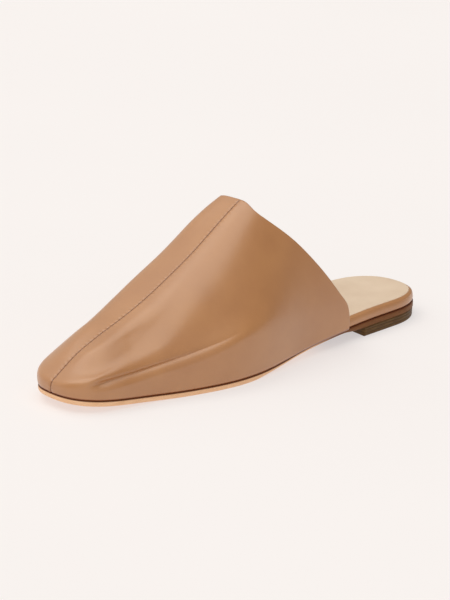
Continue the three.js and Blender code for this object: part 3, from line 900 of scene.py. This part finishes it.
# %% [markdown]
# ## Sole leather
# The sole is vegetable-tanned bend. Its edge is trimmed, waxed and left natural round the toe and
# forefoot, and stained dark from the waist back to match the heel. The eye reads pale fibres lying
# level in the edge. The top corner, where the upper meets the sole, is inked dark brown, and the
# same dark band is also painted shade for the gap under the upper. Stain and ink could be painted on
# by hand. Numbers kept on the mesh put them at an exact height and place.

# %% Sole bend
bend, tree, output = blank("waxed sole bend")
place = add(tree, "ShaderNodeTexCoord").outputs["Object"]
level_fibres = add(tree, "ShaderNodeMapping", {"Vector": place, "Scale": (1.0, 1.0, 6.0)})
# Fibre bundles are about 0.5 mm thick, drawn 6 mm long and 1 mm thick so that they show
streak = add(tree, "ShaderNodeTexNoise", {
    "Vector": level_fibres.outputs["Vector"], "Scale": 160.0, "Detail": 4.0,
})
natural = add(tree, "ShaderNodeValToRGB", {
    "Fac": streak.outputs["Fac"],
}, stops=[(0.3, "#EEBC90"), (0.7, "#F6CAA2")])
dark_edge = add(tree, "ShaderNodeValToRGB", {
    "Fac": streak.outputs["Fac"],
}, stops=[(0.3, "#704420"), (0.7, "#82522A")])
stain = add(tree, "ShaderNodeAttribute", attribute_name="stain")
stained = add(tree, "ShaderNodeMix", {
    "Factor": stain.outputs["Fac"], "A": natural.outputs["Color"], "B": dark_edge.outputs["Color"],
}, data_type="RGBA")
# Dark top corner: real edge ink and painted shade of the gap under the upper
ink_and_gap_shade = add(tree, "ShaderNodeAttribute", attribute_name="ink_and_gap_shade")
feather_ink_and_shade = add(tree, "ShaderNodeMix", {
    "Factor": ink_and_gap_shade.outputs["Fac"], "A": stained.outputs["Result"], "B": linear("#6B3A20"),
}, data_type="RGBA")
grit = add(tree, "ShaderNodeBump", {"Strength": 0.3, "Distance": 0.0001, "Height": streak.outputs["Fac"]})
skin = add(tree, "ShaderNodeBsdfPrincipled", {
    "Base Color": feather_ink_and_shade.outputs["Result"], "Roughness": 0.5, "Specular IOR Level": 0.2,
    "Normal": grit.outputs["Normal"],
})
tree.links.new(skin.outputs["BSDF"], output.inputs["Surface"])

# %% [markdown]
# ## Outsole
# The sole is cut from one 3 mm hide and follows the bottom of the last: toe spring, flat tread,
# arch, level seat. Its edge is rounded with a hot iron, and under the arch it is shaved far in, so
# that it looks thin there. A Bevel modifier would round the whole edge alike. Rings of points at
# growing heights can be drawn in more at the arch, and rows across the foot close top and bottom.

# %% Slabs that follow the sole's outline
SEAT_STEPS = 36


def ways_from(start, steps):
    """Ways from a start to the back of the heel, closer together round the toe and the seat."""
    toe = np.linspace(0, 1, 31)[1:] ** 1.5 * 0.1 if start == 0 else np.array([])
    first = toe[-1] if start == 0 else start
    along = np.linspace(first, SEAT_WAY, steps + 1)
    lead = np.concatenate([[0.0], toe[:-1]]) if start == 0 else np.array([])
    return np.concatenate([lead, along, np.linspace(SEAT_WAY, 1, SEAT_STEPS + 1)[1:]])


def ring(ways, side, out, up):
    """Line of points round one side of the sole, out from its edge and at a height."""
    s, _ = around(ways)
    x, y = edge_out(ways, side, out(s, ways))
    return np.stack([x, y, up(station_of(y))], axis=-1)


def slab(ways, rings, columns=12, crown=None, hollow=None):
    """Sheets of a slab from rings listed bottom to top, with rows across its faces."""
    share = np.linspace(0, 1, columns + 1)[None, :, None]
    levels = []
    for out, up in rings:
        outer = ring(ways, 1, out, up)[:, None]
        inner = ring(ways, -1, out, up)[:, None]
        level = outer * (1 - share) + inner * share
        if hollow is not None:
            level[..., 1] += hollow(np.arange(len(ways))[:, None] / (len(ways) - 1), share[..., 0])
            level[..., 2] = up(station_of(level[..., 1]))
        levels.append(level)
    top = levels[-1]
    if crown is not None:
        top[:, 1:-1, 2] += crown(station_of(top[:, 1:-1, 1]), share[:, 1:-1, 0])
    sides = [np.stack([level[:, column] for level in levels], axis=1) for column in (0, -1)]
    sheets = [(sides[0], False), (sides[1], True), (levels[0], False), (top, True)]
    if ways[0] > 0:
        sheets.append((np.stack([level[0] for level in levels], axis=0), False))
    return sheets


def waist(s):
    return smooth((s - 0.4) / 0.15) * (1 - smooth((s - 0.7) / 0.06))


def seat(s):
    return smooth((s - 0.74) / 0.05)


# %% The outsole
# Share of the thickness and share of the bevel drawn in there
SOLE_EDGE = [
    (0, 1.0), (0.06, 0.62), (0.16, 0.3), (0.3, 0.1), (0.45, 0.0), (0.62, 0.0), (0.78, 0.04), (0.9, 0.2),
    (1, 0.6),
]


def sole_ring(share, bevel):
    """How far out a ring of the sole's edge stands, and its height."""
    tuck = WAIST_TUCK * max(0.0, 1 - share / 0.8) ** 2.56
    shaved = max(tuck, 0.6 * BEVEL if share == 1 else 0.0)

    def out(s, way):
        # Under the seat the lower corner stays square, because the heel is glued on there
        square = seat(s) if share < 0.5 else 0.0
        return -BEVEL * bevel * (1 - waist(s)) * (1 - square) - shaved * waist(s)

    return out, lambda s: underside(s) + share * SOLE


sole_marks = {
    "stain": lambda place: smooth((station_of(place[:, 1]) - 0.6) / 0.1),
    # Top fifth of the edge: edge ink, also painted shade of the gap under the upper
    "ink_and_gap_shade": lambda place: smooth(((place[:, 2] - underside(station_of(place[:, 1]))) / SOLE - 0.8) / 0.12),
}
sole_sheets = slab(ways_from(0, 130), [sole_ring(*row) for row in SOLE_EDGE], 14)
outsole = piece("outsole_bend", sole_sheets, bend, sole_marks)
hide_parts("outsole")
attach(outsole, "root")

# %% [markdown]
# ## Heel
# The low heel is a stack of leather layers, glued flat, ground together and stained dark brown. The
# eye reads the level lines between the layers and a front face hollowed a little. Thin slabs could be
# stacked, but a ground heel is one block, so it is one slab of rings. The glue lines are real: the
# ring of points at each is drawn in by a tenth of a millimetre.

# %% Heel stack
HEEL_LAYER = 0.0019
GLUE_GROOVE = 0.00012
stack, tree, output = blank("stained stacked leather")
place = add(tree, "ShaderNodeTexCoord").outputs["Object"]
level_fibres = add(tree, "ShaderNodeMapping", {"Vector": place, "Scale": (1.0, 1.0, 10.0)})
# Fibres are drawn 6 mm long and about 0.6 mm thick
streak = add(tree, "ShaderNodeTexNoise", {
    "Vector": level_fibres.outputs["Vector"], "Scale": 180.0, "Detail": 4.0,
})
height = add(tree, "ShaderNodeSeparateXYZ", {"Vector": place})
glue = add(tree, "ShaderNodeMath", {0: height.outputs["Z"], 1: HEEL_LAYER / 2}, operation="PINGPONG")
line = add(tree, "ShaderNodeMapRange", {
    "Value": glue.outputs["Value"], "From Min": 0.0, "From Max": 0.00025,
})
brown = add(tree, "ShaderNodeValToRGB", {
    "Fac": streak.outputs["Fac"],
}, stops=[(0.3, "#563A1B"), (0.7, "#6C5029")])
lined = add(tree, "ShaderNodeMix", {
    "Factor": line.outputs["Result"], "A": linear("#3F2A16"), "B": brown.outputs["Color"],
}, data_type="RGBA")
grit = add(tree, "ShaderNodeBump", {"Strength": 0.35, "Distance": 0.0001, "Height": streak.outputs["Fac"]})
skin = add(tree, "ShaderNodeBsdfPrincipled", {
    "Base Color": lined.outputs["Result"], "Roughness": 0.5, "Specular IOR Level": 0.2,
    "Normal": grit.outputs["Normal"],
})
tree.links.new(skin.outputs["BSDF"], output.inputs["Surface"])


def heel_ring(share, groove):
    foot = 0.4 * max(0.0, 1 - share / 0.1) ** 2
    taper = HEEL_TAPER * (0.3 + 0.3 * (1 - share) + foot)
    return (
        lambda s, way: np.full_like(s, -taper - groove),
        lambda s: share * (underside(s) - 0.02 * GAP),
    )


heel_rings = []
for share in (0, 0.02, 0.06, 0.12, 0.2):
    heel_rings.append(heel_ring(share, 0))
for middle_share in (1 / 3, 2 / 3):
    for step, groove in ((-0.03, 0), (0, GLUE_GROOVE), (0.03, 0)):
        heel_rings.append(heel_ring(middle_share + step, groove))
heel_rings.append(heel_ring(1, 0))


def breast(rows, across):
    return BREAST_HOLLOW * (1 - (2 * across - 1) ** 2) * (1 - smooth(rows / 0.4))


heel_sheets = slab(ways_from(way_of(BREAST), 30), heel_rings, 16, hollow=breast)
heel = piece("heel_stack", heel_sheets, stack)
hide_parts("heel")
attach(heel, "root")

# %% [markdown]
# ## Wrapped edge of the footbed
# The footbed's edge is covered by a strip of the upper's calf, pulled over a rounded foam shoulder
# and turned a few millimetres over the top. A faint bead runs along the shoulder, where the foam's
# edge presses through. A curve with a bevel object could carry the section, but it would lean at the
# bends. Here the section is swept square to the edge, and always level.

# %% Rim wrap
# Outside of the wrap, drawn in as a share of its lip and up as a share of the footbed
ROLL = [
    (0.20, 0.05), (0.03, 0.20), (0.00, 0.45), (0.09, 0.69), (0.30, 0.87), (0.62, 0.98), (0.97, 1.00),
]
ROLL_STEPS = 30
BEAD = 0.00014


def fine_roll():
    """The wrap's outside as many points: drawn in, height, and outward direction."""
    rows = np.array(ROLL) * (LIP, FOOTBED)
    run = np.concatenate([[0], np.cumsum(np.linalg.norm(np.diff(rows, axis=0), axis=1))])
    columns = ("at", "drawn_in", "up")
    table = [(a, *row) for a, row in zip(run / run[-1], rows)]
    at = np.linspace(0, 1, ROLL_STEPS + 1)
    line = np.stack([curve(columns, table, "drawn_in")(at), curve(columns, table, "up")(at)], axis=-1)
    slope = np.gradient(line, axis=0)
    slope /= np.linalg.norm(slope, axis=-1, keepdims=True)
    bead = BEAD * bell(at, 0.62, 0.05)
    return line + np.stack([-slope[:, 1], slope[:, 0]], axis=-1) * bead[:, None]


def inner_roll():
    """The wrap's hidden inside, as many points as its outside."""
    under = FOOTBED - SOCK
    corners = np.array([(WRAP, GAP), (WRAP, under - CHAMFER), (2 * WRAP, under), (0.97 * LIP, under)])
    run = np.concatenate([[0], np.cumsum(np.linalg.norm(np.diff(corners, axis=0), axis=1))])
    at = np.linspace(0, run[-1], ROLL_STEPS + 1)
    return np.stack([np.interp(at, run, corners[:, 0]), np.interp(at, run, corners[:, 1])], axis=-1)


def swept(section, ways, side):
    s, _ = around(ways)
    x, y = edge_out(ways[:, None], side, footbed_out(s)[:, None] - section[None, :, 0])
    return np.stack([x, y, feather_height(station_of(y)) + section[None, :, 1]], axis=-1)


def wrap_sheets():
    ways = ways_from(way_of(WRAP_FRONT), 120)
    sheets = []
    for side in (1, -1):
        outside = swept(fine_roll(), ways, side)
        inside = swept(inner_roll(), ways, side)
        sheets += [(outside, side < 0), (inside, side > 0)]
        sheets.append((np.stack([inside[:, 0], outside[:, 0]], axis=1), side < 0))
        sheets.append((np.stack([outside[:, -1], inside[:, -1]], axis=1), side < 0))
        sheets.append((np.stack([inside[0], outside[0]], axis=0), side < 0))
    return sheets


# The wrap's bottom edge gets the same feather-line ink and painted shade as the upper, and no seam cleft
wrap = piece("rim_wrap_calf", wrap_sheets(), camel, {
    "above_sole": height_above_sole, "seam_run": lambda place: place[:, 1],
    "from_seam": lambda place: np.full(len(place), 1.0),
})
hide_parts("rim_wrap")
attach(wrap, "root")

# %% [markdown]
# ## Sock lining
# The cream sock covers the padded footbed. Its border is pared thin and laps a little over the
# turned-over wrap. It is dished very slightly under the heel and the ball, as soft foam is. A cloth
# simulation could press it in, but two shallow bowls do the same and always come out alike.

# %% Sock
SOCK_LAP = 0.0013
# Metres drawn in, then up as a share of the sock's thickness
SOCK_EDGE = [
    (0.0, 0.0), (0.0, 0.94), (-SOCK_LAP, 0.86), (-SOCK_LAP - 0.00006, 0.95), (-SOCK_LAP, 1.06),
    (-SOCK_LAP + 0.0003, 1.14), (-SOCK_LAP + 0.0009, 1.19),
]
HEEL_DISH = 0.0005


def sock_inset(s, way):
    rear = smooth((s - WRAP_FRONT + 0.1) / 0.08)
    return footbed_out(s) - mix(GAP + 1.3 * toe_room(way), LIP + GAP, rear)


def sock_ring(drawn_in, share):
    return (
        lambda s, way: sock_inset(s, way) - drawn_in,
        lambda s: feather_height(s) + FOOTBED - SOCK + share * SOCK,
    )


def dish(s, across):
    away = np.clip(((s - 0.88) / 0.1) ** 2 + ((across - 0.5) / 0.4) ** 2, 0, 1)
    ball = np.clip(((s - 0.34) / 0.14) ** 2 + ((across - 0.5) / 0.4) ** 2, 0, 1)
    return -HEEL_DISH * ((1 - away) ** 2 + 0.6 * (1 - ball) ** 2)


sock_sheets = slab(ways_from(0, 110), [sock_ring(*row) for row in SOCK_EDGE], 30, crown=dish)
sock = piece("sock_lining_goat", sock_sheets, cream)
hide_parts("sock_lining")
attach(sock, "root")

# %% [markdown]
# ## Footbed board
# Under the sock lies a pressed leatherboard with thin foam, brown and fibrous. It is hidden in the
# finished shoe, so its solid stays as it is and only takes a material.

# %% Leatherboard
board, tree, output = blank("pressed leatherboard")
place = add(tree, "ShaderNodeTexCoord").outputs["Object"]
# Flecks about 2.5 mm wide
flecks = add(tree, "ShaderNodeTexNoise", {"Vector": place, "Scale": 400.0, "Detail": 3.0})
pulp = add(tree, "ShaderNodeValToRGB", {
    "Fac": flecks.outputs["Fac"],
}, stops=[(0.35, "#8C6440"), (0.65, "#B48A60")])
skin = add(tree, "ShaderNodeBsdfPrincipled", {"Base Color": pulp.outputs["Color"], "Roughness": 0.85})
tree.links.new(skin.outputs["BSDF"], output.inputs["Surface"])
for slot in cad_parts["insole_board"].material_slots:
    slot.material = board
